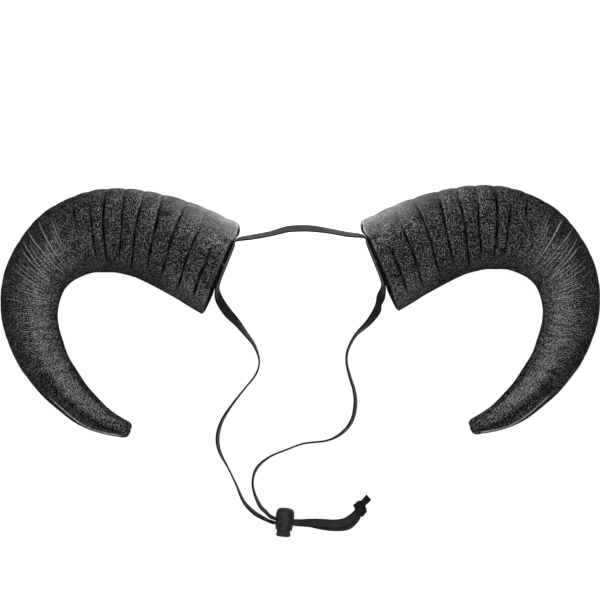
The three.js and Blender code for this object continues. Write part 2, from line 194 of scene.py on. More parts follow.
# Cord lock: heights along its axis, from the middle of the barrel towards its dome
LOCK_PLACE = (-0.0109, -0.1458, 0.0065)
LOCK_TURN = math.radians(-5.5)
LOCK_SIDES = 96
AXIS_RADIUS = 0.00002  # of the ring that closes a lathed end
PROFILE_STEPS = 8
SHARP_ANGLE = math.radians(38)  # edges sharper than this aren't shaded smooth
BARREL_PROFILE = [  # radius, height
    (0.0054, -0.0077),
    (0.0058, -0.0072),
    (0.0063, -0.0040),
    (0.0065, 0.0),
    (0.0065, 0.0028),
    (0.0062, 0.0052),
    (0.0053, 0.0070),
    (0.0034, 0.0079),
    (0.0014, 0.00815),
]
BARREL_TOP = 0.0082
BORE_RADIUS = 0.0051
BORE_TOP = 0.0059
BUTTON_RADIUS = 0.0048
BUTTON_TOP = 0.0030
STEM_STEPS = 15
BUTTON_HEAD = [  # radius, height
    (0.0016, -0.0123),
    (0.0030, -0.0124),
    (0.0045, -0.0120),
    (0.0052, -0.0111),
    (0.0052, -0.0104),
    (0.0048, -0.0097),
]
BUTTON_DISH = 0.0003
BUTTON_FLUTES = 18
BUTTON_FLUTE_DEPTH = 0.00016
BUTTON_FLUTE_FADE = 0.0003
PRESS = 0.0020
HOLE_HEIGHT = -0.0016
HOLE_GAP = 0.0006
HOLE_WIDTH = 0.0034
HOLE_CORNER = 0.0012
HOLE_CORNER_STEPS = 6
HOLE_REACH = 0.020

# Thread that tacks the elastic to each base: x, y, heading of the elastic there in degrees
TACKS = [
    ("left_tack", -0.0536, 0.0327, 68.3),
    ("right_tack", 0.0527, 0.0350, 111.7),
]
TACK_HEIGHT = 0.0326
TACK_RADIUS = 0.0008
TACK_THREAD = 0.00026
TACK_LOOPS = 3
TACK_PITCH = 0.00055
TACK_TURN = (-0.25, 1.25)  # start and end of a loop, in half turns
TACK_STEPS = 16
TACK_SIDES = 8

# Knot: cores under the wraps, the wraps and the two free ends
KNOT_CORES = [  # x, y, z, radii along x, y and z before the turn, turn in degrees
    (0.0430, -0.1393, 0.0040, 0.0037, 0.0032, 0.0037, 20),
    (0.0415, -0.1360, 0.0043, 0.0036, 0.0032, 0.0037, 55),
]
KNOT_WRAPS = [  # middle x, y, z, its axis's heading and rise in degrees, radius, width, turns, drift
    (0.0426, -0.1397, 0.0042, 52, 10, 0.0036, 0.0050, 1.15, 0.0012),
    (0.0416, -0.1360, 0.0044, 118, 5, 0.0034, 0.0046, 1.10, 0.0010),
]
KNOT_SHADE = 0.5  # the tight elastic is duller
CORE_ROWS = 14
CORE_SIDES = 28
CORE_POLE = 0.06  # angle from a pole to the nearest ring
WRAP_STEPS = 63
WRAP_LIFT = 1.1  # from a wrap's start to its end, in thicknesses of the elastic
WRAP_TAPER = 0.25
WRAP_TAPER_RANGE = (0.40, 0.50)  # from the wrap's middle, as shares of its length
FREE_END_STEPS = 24
UPPER_END = [  # free end on top: x, y, z, width
    (0.0420, -0.1362, 0.0058, 0.0040),
    (0.0446, -0.1337, 0.0056, 0.0043),
    (0.0464, -0.1319, 0.0044, 0.0047),
    (0.0480, -0.1304, 0.0032, 0.0052),
]
LOWER_END = [
    (0.0424, -0.1364, 0.0044, 0.0040),
    (0.0450, -0.1340, 0.0042, 0.0043),
    (0.0466, -0.1323, 0.0028, 0.0047),
    (0.0475, -0.1311, 0.0014, 0.0051),
]

# Horns: the left horn's middle line in even steps from base to tip, with the half width there
HORN_LENGTH = 0.288
HORN_ROWS = [  # x, y, half width
    (-0.0556, 0.0296, 0.0336),
    (-0.0817, 0.0433, 0.0322),
    (-0.1084, 0.0537, 0.0303),
    (-0.1370, 0.0565, 0.0288),
    (-0.1645, 0.0473, 0.0258),
    (-0.1841, 0.0263, 0.0219),
    (-0.1901, -0.0019, 0.0199),
    (-0.1824, -0.0298, 0.0172),
    (-0.1664, -0.0540, 0.0142),
    (-0.1447, -0.0734, 0.0104),
    (-0.1188, -0.0842, 0.0052),
]
DEPTH_SHARE = 0.88
LEAN_X = math.radians(4.2)
LEAN_Y = math.radians(-4.4)
SETTLE = 0.0008
RIGHT_HORN_SHIFT = 0.0022
BASE_SKEW = 0.0030
HORN_SIDES = 136
HORN_SHADES = ("fold", "pale_and_highlight", "tone", "smooth", "drawn", "run")
PLAIN_RING_STEP = 0.00060
FOLD_RING_STEP = 0.00034
BEND_RING_STEP = 0.00026

# Creases: distance from the base, depth of the soft valley, how far it runs ahead at the outer edge,
# and the shares across the horn between which it is folded sharply, if it is
CREASES = [
    (0.0, 0.0003, 0.0030),
    (0.0098, 0.0012, 0.0032, -0.72, 0.30),
    (0.0235, 0.0017, 0.0033, -0.80, 0.58),
    (0.0369, 0.0018, 0.0032, -0.72, 0.78),
    (0.0500, 0.0019, 0.0030, -0.66, 0.80),
    (0.0630, 0.0019, 0.0018, -0.80, 0.70),
    (0.0730, 0.0019, 0.0010, -0.64, 0.70),
    (0.0845, 0.0018, -0.0012, -0.70, 0.84),
    (0.0933, 0.0016, -0.0012, -0.56, 0.64),
    (0.1018, 0.0010, -0.0022, 0.46, 0.80),
    (0.1120, 0.0007, -0.0028),
    (0.1215, 0.0007, -0.0032),
    (0.1295, 0.0007, -0.0038),
    (0.1375, 0.0007, -0.0046),
    (0.1480, 0.0006, -0.0042),
    (0.1585, 0.0006, -0.0030),
    (0.1680, 0.0005, -0.0016),
    (0.1825, 0.0005, -0.0024),
    (0.1915, 0.0005, -0.0044),
    (0.2035, 0.0004, -0.0050),
    (0.2165, 0.0004, -0.0060),
    (0.2340, 0.0, 0.0),
]
INNER_FADE = (-0.98, -0.60)
OUTER_FADE = (0.50, 0.98)
OUTER_DEPTH = 0.5
FOLD_DEPTH = 0.0020
FOLD_WIDTH = 0.00067
FOLD_FADE = 0.12
FOLD_SHADE = 1.25
FOLD_WAVER = (0.84, 0.22)  # middle and swing of a fold's strength across the horn
FOLD_WAVER_RATES = (9, 16)
FOLD_REACH = 0.0022  # rings are closer within this distance of a fold
FOLD_WANDER = 0.0007  # how far the creases wander along the horn
WANDER_WAVES = 6
WANDER_LENGTHS = (0.011, 0.025)
WANDER_RATE = 2.2
WANDER_START = (0.004, 0.012)
PHASES = (0, 6)  # of the seeded folds and the ragged tip, in radians

# Pale stretch lines round the bend: distance at the middle, lean and bow across, inner and outer end, height
STRETCH_LINES = [
    (0.1148, -0.0019, 0.0, 0.15, 0.72, 0.5),
    (0.1172, -0.0026, 0.0, -0.10, 0.55, 0.4),
    (0.1203, -0.0030, 0.0, -0.42, 0.10, 0.5),
    (0.1224, -0.0029, 0.0, -0.42, 0.86, 1.0),
    (0.1256, -0.0032, 0.0, -0.50, 0.30, 0.5),
    (0.1286, -0.0010, -0.0008, -0.55, 0.90, 0.9),
    (0.1312, -0.0025, -0.0010, -0.30, 0.45, 0.6),
    (0.1338, -0.0040, -0.0008, -0.50, 0.55, 0.6),
    (0.1370, -0.0050, -0.0009, -0.30, 0.80, 1.0),
    (0.1392, -0.0044, 0.0, -0.35, 0.66, 0.9),
    (0.1416, -0.0012, 0.0, -0.45, 0.25, 0.9),
    (0.1442, -0.0040, 0.0, -0.50, 0.50, 0.6),
    (0.1467, -0.0042, 0.0, -0.20, 0.70, 0.5),
    (0.1493, -0.0039, 0.0, -0.30, 0.62, 0.6),
    (0.1520, -0.0030, 0.0, -0.40, 0.15, 0.5),
    (0.1548, -0.0022, 0.0, -0.42, 0.28, 0.6),
    (0.1574, -0.0030, 0.0, -0.50, 0.40, 0.5),
    (0.1604, -0.0026, 0.0, -0.60, 0.05, 0.5),
    (0.1630, 0.0, 0.0, 0.35, 0.74, 0.5),
]
STRETCH_HEIGHT = 0.00030
STRETCH_WIDTH = 0.00022
STRETCH_FADE = 0.17
STRETCH_GROOVE = 2.3  # from a line to the groove behind it, in widths of the line
STRETCH_GROOVE_DEPTH = 0.5  # share of the line's height
DASH_COUNT = 170
DASH_RANGE = (0.112, 0.245)
DASH_MIDDLE = (-0.10, 0.30)  # mean and spread
DASH_LENGTHS = (0.05, 0.22)
DASH_STRENGTHS = (0.04, 0.24)
DASH_LEAN = 0.001

# Soft wrinkles in painted shade from the bend towards the tip: distance at the middle, lean, inner and outer
# end, depth
SOFT_WRINKLES = [
    (0.1460, -0.0040, -0.85, 0.10, 0.5),
    (0.1658, 0.0015, -0.70, 0.12, 0.7),
    (0.1735, -0.0006, -0.80, 0.05, 0.6),
    (0.1825, -0.0024, -0.85, 0.25, 0.9),
    (0.1903, -0.0054, -0.85, 0.20, 0.8),
    (0.2000, -0.0050, -0.80, 0.10, 0.6),
    (0.2090, -0.0060, -0.85, 0.05, 0.5),
    (0.2162, -0.0095, -0.95, 0.05, 0.8),
]
WRINKLE_DEPTH = 0.0006
WRINKLE_WIDTH = 0.0009
WRINKLE_SHADE = 0.6

# Ripples, fine ribs and lumps of the cover, with limits of the lean, bow and turns of seeded waves
WAVE_LEAN = 0.006
WAVE_BOW = 0.004
WAVE_TURNS = (-2, 3)
RIPPLE_LENGTHS = (0.0026, 0.0075)
RIPPLE_WAVES = 26
RIPPLE_HEIGHT = 0.00008
RIPPLE_ENDS = (-0.9, 0.9)
BEND_RIPPLE_HEIGHT = 0.00012
BEND_RANGE = (0.105, 0.125, 0.165, 0.200)
DRAWN_RANGE = (0.105, 0.128, 0.255, 0.280)
DRAWN_ACROSS = (-1.3, -0.8, 0.15, 0.60)
RIB_PITCH = 0.0014  # of the fine cross ribs where the cover is drawn tight
RIB_WANDER = 14.0
RIB_RELIEF = 0.13
LUMP_LENGTHS = (0.022, 0.060)
LUMP_WAVES = 14
LUMP_HEIGHT = 0.00022
LUMP_START = (0.004, 0.020)

# Areas painted lighter or darker in place of light and shade: painted shade along the edges, the bend's
# outer side and the under side by the crown, and a painted highlight along the ridge of the thin half.
# Columns: range along the horn, range across it, change, and, for an area on the under side alone, the range
# down over which it comes in
PAINTED_LIGHT_AREAS = [
    ((-0.010, -0.005, 0.270, 0.290), (-1.4, -1.2, -0.98, -0.90), -0.9),
    ((0.090, 0.120, 0.200, 0.230), (0.92, 0.98, 1.2, 1.4), -0.5),
    ((0.135, 0.170, 0.255, 0.285), (-0.92, -0.58, -0.24, 0.14), 1.05),
    ((0.095, 0.120, 0.200, 0.240), (0.25, 0.55, 1.2, 1.4), -0.10),
    ((-0.010, -0.005, 0.018, 0.040), (-1.4, -1.2, -0.55, -0.25), 0.70),
    ((0.030, 0.060, 0.100, 0.130), (-1.4, -1.2, -0.75, -0.50), 0.15),
    ((-0.010, -0.005, 0.095, 0.115), (-0.65, -0.40, 0.35, 0.60), -0.15),
    ((-0.010, -0.005, 0.070, 0.130), (0.20, 0.60, 1.2, 1.4), -0.75, -0.12, 0.40),
]
# Areas where the fleck gives way to a flat, lighter grey, among them a painted sheen along the lit top edge
# by the base: range along the horn, range across it, share
SHEEN_AND_SMOOTH_AREAS = [
    ((-0.010, -0.005, 0.035, 0.085), (0.45, 0.86, 1.2, 1.4), 0.75),
    ((-0.010, -0.005, 0.100, 0.130), (-1.4, -1.2, -0.75, -0.45), 0.40),
    ((0.090, 0.125, 0.290, 0.300), (0.20, 0.55, 1.2, 1.4), 0.30),
]
SHEEN_AND_SMOOTH_FLECK = 0.63

# Valleys along the tip: share across where they start and at the tip, width, depth, and where they
# start and are full
OUTER_VALLEY = (0.28, 0.66, 0.15, 0.0010, 0.190, 0.228)
INNER_VALLEY = (-0.87, -0.72, 0.050, 0.0006, 0.215, 0.240)
VALLEY_BEND = (0.256, 0.284)
# painted shade along the valleys
VALLEY_PAINTED_SHADE = -0.9

# Raised edge of the thin end, along its outer side, with a painted highlight, and a groove beyond it in
# painted shade
EDGE_SHARES = (0.74, 0.84)
EDGE_RANGE = (0.232, 0.276)
EDGE_FADE = (0.222, 0.240, 0.276, 0.286)
EDGE_WIDTH = 0.0006
EDGE_HEIGHT = 0.0005
EDGE_PAINTED_HIGHLIGHT = 1.0
EDGE_GROOVE = 0.0016

COVER_SWELL = 0.00035  # of the whole cover
# Areas where the padding is fuller or slacker: range along the horn, range across it, change
PADDING_AREAS = [
    ((-0.001, 0.005, 0.034, 0.060), (0.35, 1.00, 1.2, 1.4), 0.0006),
    ((0.060, 0.100, 0.140, 0.175), (0.30, 0.90, 1.2, 1.4), 0.0007),
    ((0.085, 0.105, 0.165, 0.200), (-1.4, -1.2, -0.90, -0.40), -0.0005),
    ((0.258, 0.278, 0.290, 0.300), (-1.4, -1.2, -0.80, -0.20), -0.0011),
]

SEAM_ANGLE = math.radians(153)
SEAM_WIDTH = 0.0006
SEAM_DEPTH = 0.0006
SEAM_SHADE = 0.6
SEAM_RANGE = (0.145, 0.165, 0.200, 0.222)
STITCH_PITCH = 0.0046
STITCH_RISE = (0.1, 0.42)
STITCH_PALE = 0.3
RIM_ROUND = 0.0012
RIM_SHARE = 0.965
RIM_LIP = 0.0003
RIM_LIP_END = (0.00132, 0.0022)
# painted highlight along the rim's lip
RIM_PAINTED_HIGHLIGHT = 0.06
RIM_CORNERS = [  # where the rim is padded out or set back: from, to, reach
    (0.62, 0.80, 0.0022),
    (0.88, 1.00, -0.0022),
    (-0.48, -0.66, 0.0007),
]
RIM_CORNER_END = (0.001, 0.010)
TUCK_SHARE = 0.64  # where the elastic is tucked in at the rim
TUCK_WIDTH = 0.03
TUCK_RANGE = (0.003, 0.008)
TUCK_DEPTH = 0.0012
BASE_RINGS = 18
BASE_START = 0.03  # share of the half width at the first ring
BASE_CORNER_POWER = 6
BASE_DISH = 0.0005
BASE_DISH_START = 0.55
BASE_PAINTED_SHADE = 0.85  # painted shade: the base is painted nearly black, darker than the cover
# painted shade on the outermost ring of the rim
RIM_PAINTED_SHADE = 0.20
TIP_START = 0.2808
TIP_LENGTH = 0.0056
TIP_RINGS = 14
TIP_TURNS = (0.10, 0.98)  # of its first and last ring, in quarter turns
TIP_BLUNTNESS = 0.56
TIP_PLEATS = 7
TIP_PLEAT_DEPTH = 0.12
TIP_PLEAT_POWER = 4
TIP_PLEAT_PHASE = 0.7
TIP_RAGGED = 0.0004
TIP_RAGGED_WAVES = (3, 5, 8, 13, 21)

rng = np.random.default_rng(SEED)


def smooth(value, low, high):
    share = np.clip((value - low) / (high - low), 0, 1)
    return share * share * (3 - 2 * share)


def between(value, steps):
    """Rises from 0 to 1 between the first two steps and falls back between the last two."""
    rise, full, fall, gone = steps
    return smooth(value, rise, full) * (1 - smooth(value, fall, gone))


def catmull(rows, share):
    """Points of an even spline through the rows, at shares from 0 to 1 of the way along it."""
    rows = np.asarray(rows, float)
    last = len(rows) - 1
    padded = np.concatenate([[2 * rows[0] - rows[1]], rows, [2 * rows[last] - rows[last - 1]]])
    place = np.clip(share, 0, 1) * last
    index = np.minimum(place.astype(int), last - 1)
    weight = (place - index)[..., None]
    before, here, after, beyond = (padded[index + step] for step in range(4))
    return 0.5 * (
        2 * here
        + (after - before) * weight
        + (2 * before - 5 * here + 4 * after - beyond) * weight**2
        + (3 * here - before - 3 * after + beyond) * weight**3
    )


def spline(rows, steps):
    return catmull(rows, np.linspace(0, 1, steps + 1))


def unit(vectors):
    return vectors / np.linalg.norm(vectors, axis=-1, keepdims=True)


def angles_round(count):
    return np.linspace(0, FULL_TURN, count, endpoint=False)


def grid_faces(rings, sides, first=0):
    """Quads between closed rings of points, and a fan at each end to a middle point after the rings."""
    faces = []
    for ring in range(rings - 1):
        for side in range(sides):
            a = first + ring * sides + side
            b = first + ring * sides + (side + 1) % sides
            faces.append((a, b, b + sides, a + sides))
    start = first + rings * sides
    end = first + (rings - 1) * sides
    for side in range(sides):
        after = (side + 1) % sides
        faces.append((start, first + after, first + side))
        faces.append((start + 1, end + side, end + after))
    return faces


def closed_points(grid):
    """The points of closed rings with the middles of the first and last ring after them."""
    return np.concatenate([grid.reshape(-1, 3), [grid[0].mean(0), grid[-1].mean(0)]])


def join_grids(*grids):
    """Points and faces of closed grids as one mesh."""
    points, faces, count = [], [], 0
    for grid in grids:
        faces += grid_faces(*grid.shape[:2], first=count)
        points.append(closed_points(grid))
        count += len(points[-1])
    return np.concatenate(points), faces


def add_object(name, data):
    thing = bpy.data.objects.new(name, data)
    bpy.context.scene.collection.objects.link(thing)
    return thing


def make_piece(name, points, faces, body=BODY):
    mesh = bpy.data.meshes.new(name)
    mesh.from_pydata([tuple(point) for point in points], [], faces)
    solid = bmesh.new()
    solid.from_mesh(mesh)
    bmesh.ops.recalc_face_normals(solid, faces=solid.faces)
    solid.to_mesh(mesh)
    solid.free()
    mesh.polygons.foreach_set("use_smooth", [True] * len(mesh.polygons))
    piece = add_object(name, mesh)
    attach(piece, body)
    return piece


def add_numbers(piece, name, values):
    """Keeps a number, or a vector of three, for each point of a piece."""
    values = np.asarray(values, np.float32)
    vector = values.ndim == 2
    kind = "FLOAT_VECTOR" if vector else "FLOAT"
    attribute = piece.data.attributes.new(name, kind, "POINT")
    attribute.data.foreach_set("vector" if vector else "value", values.ravel())


def opaque(colour):
    """Red, green, blue and alpha of a colour that is given as red, green and blue, or as one grey."""
    return (*np.broadcast_to(colour, 3), 1.0)


class Shader:
    """A material, or the world, with a short way to add and link its nodes."""

    def __init__(self, name, kind="materials", surface="Principled BSDF"):
        self.owner = getattr(bpy.data, kind).new(name)
        self.owner.use_nodes = True
        self.tree = self.owner.node_tree
        self.surface = self.tree.nodes[surface]

    def set(self, node, **inputs):
        for name, value in inputs.items():
            socket = node.inputs[int(name[1:])] if name[0] == "_" else node.inputs[name.replace("_", " ")]
            if isinstance(value, bpy.types.NodeSocket):
                self.tree.links.new(value, socket)
            elif socket.type == "RGBA":
                socket.default_value = opaque(value)
            else:
                socket.default_value = value
        return node

    def paint(self, **inputs):
        """Sets the surface and hands over the finished material or world."""
        self.set(self.surface, **inputs)
        return self.owner

    def add(self, kind, options=None, **inputs):
        node = self.tree.nodes.new(kind)
        for name, value in (options or {}).items():
            setattr(node, name, value)
        return self.set(node, **inputs)

    def math(self, operation, first, second=0.0):
        return self.add("ShaderNodeMath", {"operation": operation}, _0=first, _1=second).outputs[0]

    def noise(self, vector, scale, detail=2.0, roughness=0.5):
        node = self.add("ShaderNodeTexNoise", Vector=vector, Scale=scale, Detail=detail, Roughness=roughness)
        return node.outputs["Fac"]

    def cells(self, vector, scale):
        """A random number for each small cell."""
        return self.add("ShaderNodeTexVoronoi", Vector=vector, Scale=scale).outputs["Color"]

    def spread(self, value, source, target=(0.0, 1.0)):
        """Takes one range of a value smoothly to another."""
        node = self.add("ShaderNodeMapRange", {"interpolation_type": "SMOOTHSTEP"}, Value=value)
        self.set(node, From_Min=source[0], From_Max=source[1], To_Min=target[0], To_Max=target[1])
        return node.outputs["Result"]

    def ramp(self, value, stops):
        node = self.add("ShaderNodeValToRGB", Fac=value)
        elements = node.color_ramp.elements
        while len(elements) < len(stops):
            elements.new(0.5)
        for element, (place, colour) in zip(elements, stops):
            element.position = place
            element.color = opaque(colour)
        return node.outputs["Color"]

    def mix(self, share, first, second):
        return self.add("ShaderNodeMix", {"data_type": "RGBA"}, _0=share, _6=first, _7=second).outputs[2]

    def number_mix(self, share, first, second):
        return self.add("ShaderNodeMix", {"data_type": "FLOAT"}, _0=share, _2=first, _3=second).outputs[0]

    def bump(self, height, depth, strength=1.0, normal=None):
        node = self.add("ShaderNodeBump", Height=height, Distance=depth, Strength=strength)
        if normal is not None:
            self.set(node, Normal=normal)
        return node.outputs["Normal"]

    def attribute(self, name, output="Fac"):
        return self.add("ShaderNodeAttribute", {"attribute_name": name}).outputs[output]

    def object_coordinates(self):
        return self.add("ShaderNodeTexCoord").outputs["Object"]


def horn_fabric():
    """Matte charcoal cover with a pale fleck, paler stretch lines, and painted shade and highlights."""
    shader = Shader("horn_fabric")
    place = shader.object_coordinates()
    fleck = shader.number_mix(shader.attribute("smooth"), shader.cells(place, scale=2500.0), SHEEN_AND_SMOOTH_FLECK)
    turns = shader.math("MULTIPLY", shader.attribute("run"), FULL_TURN / RIB_PITCH)
    wander = shader.math("MULTIPLY", shader.noise(place, scale=160.0), RIB_WANDER)
    ribs = shader.math("SINE", shader.math("ADD", turns, wander))
    relief = shader.math("MULTIPLY", shader.attribute("drawn"), RIB_RELIEF)
    fleck = shader.math("ADD", fleck, shader.math("MULTIPLY", ribs, relief))
    patch = shader.noise(place, scale=130.0, detail=3.0, roughness=0.55)
    tone = shader.math("MULTIPLY", shader.attribute("tone"), PAINTED_SHADING_CHANGE)
    change = shader.math("ADD", shader.spread(patch, source=(0.25, 0.75), target=PATCH_CHANGE), tone)
    fleck = shader.math("ADD", fleck, change)
    fold = shader.attribute("fold")
    cloth = shader.mix(fold, shader.ramp(fleck, FLECK_COLOURS), NEAR_BLACK)
    pale_and_highlight = shader.spread(fleck, source=(0.25, 0.70), target=(0.15, 1.0))
    pale_and_highlight = shader.math("MULTIPLY", shader.attribute("pale_and_highlight"), pale_and_highlight)
    fibre = shader.noise(place, scale=2600.0, roughness=0.6)
    nap = shader.bump(fleck, depth=0.00012, strength=0.6)
    return shader.paint(
        Base_Color=shader.mix(pale_and_highlight, cloth, PALE_AND_HIGHLIGHT_COLOUR),
        Roughness=shader.spread(fibre, NOISE_RANGE, target=(0.82, 0.97)),
        Normal=shader.bump(fibre, depth=0.00012, strength=0.6, normal=nap),
        Specular_IOR_Level=0.0,
        Sheen_Weight=shader.spread(fold, source=(0.0, 0.6), target=(0.06, 0.0)),
        Sheen_Roughness=0.30,
        Sheen_Tint=(0.92, 0.93, 0.96),
    )


def woven_elastic():
    """Near black elastic: fine interlaced threads along its run, with a satin gloss."""
    shader = Shader("woven_elastic")
    threads = shader.add(
        "ShaderNodeTexBrick",
        {"offset": 0.5},
        Vector=shader.attribute("weave", "Vector"),
        Scale=1000.0,
        Color1=0.30,
        Color2=0.75,
        Mortar=0.0,
        Mortar_Size=0.07,
        Mortar_Smooth=0.8,
        Brick_Width=1.1,
        Row_Height=0.55,
    ).outputs["Color"]
    place = shader.object_coordinates()
    wear = shader.noise(place, scale=260.0, detail=3.0)
    lint = shader.noise(place, scale=2300.0, roughness=0.7)
    worn = shader.spread(wear, source=(0.45, 0.75), target=(0.0, 0.35))
    lint = shader.spread(lint, source=(0.62, 0.78), target=(0.0, 0.10))
    cloth = shader.mix(worn, shader.mix(threads, *WEAVE_COLOURS), WEAR_COLOUR)
    cloth = shader.mix(lint, cloth, LINT_COLOUR)
    selvedge = shader.attribute("selvedge")
    return shader.paint(
        Base_Color=shader.mix(selvedge, cloth, SELVEDGE_COLOUR),
        Roughness=shader.spread(wear, NOISE_RANGE, target=(0.46, 0.62)),
        Normal=shader.bump(threads, depth=0.00012, strength=0.7),
        Specular_IOR_Level=shader.spread(selvedge, source=(0.0, 1.0), target=(0.24, 0.05)),
        Sheen_Weight=0.02,
        Sheen_Roughness=0.4,
    )


def lock_plastic():
    """Dark grey moulded plastic, matte, with a faint mottle."""
    shader = Shader("lock_plastic")
    place = shader.object_coordinates()
    mottle = shader.noise(place, scale=340.0, detail=4.0, roughness=0.6)
    grain = shader.noise(place, scale=3200.0, roughness=0.6)
    relief = shader.bump(mottle, depth=0.00015, strength=0.4)
    return shader.paint(
        Base_Color=shader.ramp(mottle, MOTTLE_COLOURS),
        Roughness=shader.spread(mottle, NOISE_RANGE, target=(0.46, 0.62)),
        Normal=shader.bump(grain, depth=0.00006, strength=0.5, normal=relief),
        Specular_IOR_Level=0.14,
    )


def tack_thread():
    """Dull grey sewing thread."""
    shader = Shader("tack_thread")
    fibre = shader.noise(shader.object_coordinates(), scale=4200.0)
    return shader.paint(
        Base_Color=shader.ramp(fibre, THREAD_COLOURS),
        Roughness=0.8,
        Normal=shader.bump(fibre, depth=0.00005),
    )


def floor_paint():
    return Shader("floor_paint").paint(
        Base_Color=FLOOR_COLOUR,
        Roughness=0.9,
        Specular_IOR_Level=0.1,
        Emission_Color=1.0,
        Emission_Strength=FLOOR_GLOW,
    )


def dress(piece, material):
    piece.data.materials.append(material)
    return piece


def make_camera():
    data = bpy.data.cameras.new("camera")
    data.lens = data.sensor_width * CAMERA_DISTANCE / (PHOTO_SIDE * PIXEL)
    data.clip_end = CAMERA_REACH
    camera = add_object("camera", data)
    camera.location = VIEW_MIDDLE + Vector((0, 0, CAMERA_DISTANCE))
    bpy.context.scene.camera = camera


def make_lights():
    for name, place, aim, size, power, in_gloss in LIGHTS:
        data = bpy.data.lights.new(name, "AREA")
        data.size = size
        data.energy = power
        light = add_object(name, data)
        light.location = place
        light.rotation_euler = (Vector(aim) - Vector(place)).to_track_quat("-Z", "Y").to_euler()
        light.visible_camera = False
        light.visible_glossy = in_gloss
    world = Shader("world", "worlds", "Background")
    direction = world.add("ShaderNodeTexCoord").outputs["Generated"]
    height = world.add("ShaderNodeSeparateXYZ", Vector=direction).outputs["Z"]
    sky, bounce = (world.spread(height, steps, (0.0, strength)) for *steps, strength in (SKY, FLOOR_BOUNCE))
    bpy.context.scene.world = world.paint(Color=1.0, Strength=world.math("ADD", sky, bounce))
    bpy.context.scene.view_settings.view_transform = "Standard"


def make_floor():
    mesh = bpy.data.meshes.new("floor")
    disc = bmesh.new()
    bmesh.ops.create_circle(disc, cap_ends=True, segments=FLOOR_SIDES, radius=FLOOR_RADIUS)
    disc.to_mesh(mesh)
    disc.free()
    mesh.materials.append(floor_paint())
    floor = add_object("floor", mesh)
    floor.location.z = -FLOOR_DROP
    floor.visible_diffuse = False


# Elastic


def band_section():
    """Outline of a band as shares of its half width and half thickness, with shallow ribs along it."""
    across = np.cos(np.linspace(0, math.pi, BAND_SIDE_STEPS + 1))
    edge = np.sqrt(1 - np.abs(across) ** BAND_EDGE)
    ribs = edge * BAND_RIB_HEIGHT / (STRAP_THICKNESS / 2) * np.cos(BAND_RIBS * math.pi * across)
    face = edge + ribs
    return np.concatenate([across, across[-2:0:-1]]), np.concatenate([face, -face[-2:0:-1]])


def flat_frame(places):
    """Directions across and out of a band that lies flat along its middle line."""
    along = unit(np.gradient(places, axis=0))
    side = unit(np.cross(UP, along))
    return side, np.cross(along, side)


def band_grid(places, across, face, width):
    """Rings of a band along its middle line."""
    section_across, section_face = band_section()
    return (
        places[:, None]
        + across[:, None] * (section_across[None, :, None] * width[:, None, None] / 2)
        + face[:, None] * (section_face[None, :, None] * STRAP_THICKNESS / 2)
    )


def band_weave(places, width):
    """Run and place across the band at each of its points, for the weave."""
    steps = np.linalg.norm(np.diff(places, axis=0), axis=1)
    run = np.concatenate([[0.0], np.cumsum(steps)])
    section_across, _ = band_section()
    across = section_across[None] * width[:, None] / 2
    along = np.broadcast_to(run[:, None], across.shape)
    weave = np.stack([along, across, np.zeros_like(across)], -1)
    ends = [[run[0], 0.0, 0.0], [run[-1], 0.0, 0.0]]
    return np.concatenate([weave.reshape(-1, 3), ends])


def band_selvedge(rings):
    """1 along both edges of a band and 0 on the rest of it."""
    section_across, _ = band_section()
    edge = smooth(np.abs(section_across), *SELVEDGE)
    return np.concatenate([np.tile(edge, rings), [0.0, 0.0]])


def route_table():
    """Middle line x, y, z, roll and width at each point of the route."""
    rows = []
    for x, y, lift, roll, *bunched in KNOT_START + LEFT_DROP + CROWN_RUN + RIGHT_DROP + KNOT_END:
        width = bunched[0] if bunched else STRAP_WIDTH
        turn = math.radians(abs(roll))
        height = lift + width / 2 * math.sin(turn) + STRAP_THICKNESS / 2 * abs(math.cos(turn))
        rows.append((x, y, height, roll, width))
    return rows


def make_strap(material):
    """The elastic, and its path outside the knot."""
    rows = route_table()
    table = spline(rows, (len(rows) - 1) * ROUTE_STEPS)
    places, roll, width = table[:, :3], table[:, 3], table[:, 4]
    side, top = flat_frame(places)
    turn = np.radians(roll)[:, None]
    across = side * np.cos(turn) - top * np.sin(turn)
    face = top * np.cos(turn) + side * np.sin(turn)
    grid = band_grid(places, across, face, width)
    grid[..., 2] = np.maximum(grid[..., 2], 0.0)
    strap = make_piece("elastic_band", *join_grids(grid))
    add_numbers(strap, "weave", band_weave(places, width))
    add_numbers(strap, "selvedge", band_selvedge(len(grid)))
    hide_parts("elastic_strap")
    return dress(strap, material), places[ROUTE_STEPS:-ROUTE_STEPS]


# Cord lock


def lathe_points(profile, wave=None):
    """Rings round the Y axis from a profile of radius and height, with a wave of the radius if given."""
    angles = angles_round(LOCK_SIDES)
    rings = []
    for radius, height in profile:
        level = np.full_like(angles, height)
        reach = radius + (wave(angles, height) if wave else np.zeros_like(angles))
        rings.append(np.stack([reach * np.sin(angles), level, reach * np.cos(angles)], -1))
    return np.array(rings)


def slot_outline(low, high):
    """Outline of a cross hole with round corners: half width along Z, height along Y."""
    side, low, high = HOLE_WIDTH / 2 - HOLE_CORNER, low + HOLE_CORNER, high - HOLE_CORNER
    outline = []
    for corner, (z, y) in enumerate([(side, high), (-side, high), (-side, low), (side, low)]):
        for step in range(HOLE_CORNER_STEPS + 1):
            angle = (corner + step / HOLE_CORNER_STEPS) * math.pi / 2
            outline.append((y + HOLE_CORNER * math.sin(angle), z + HOLE_CORNER * math.cos(angle)))
    return outline


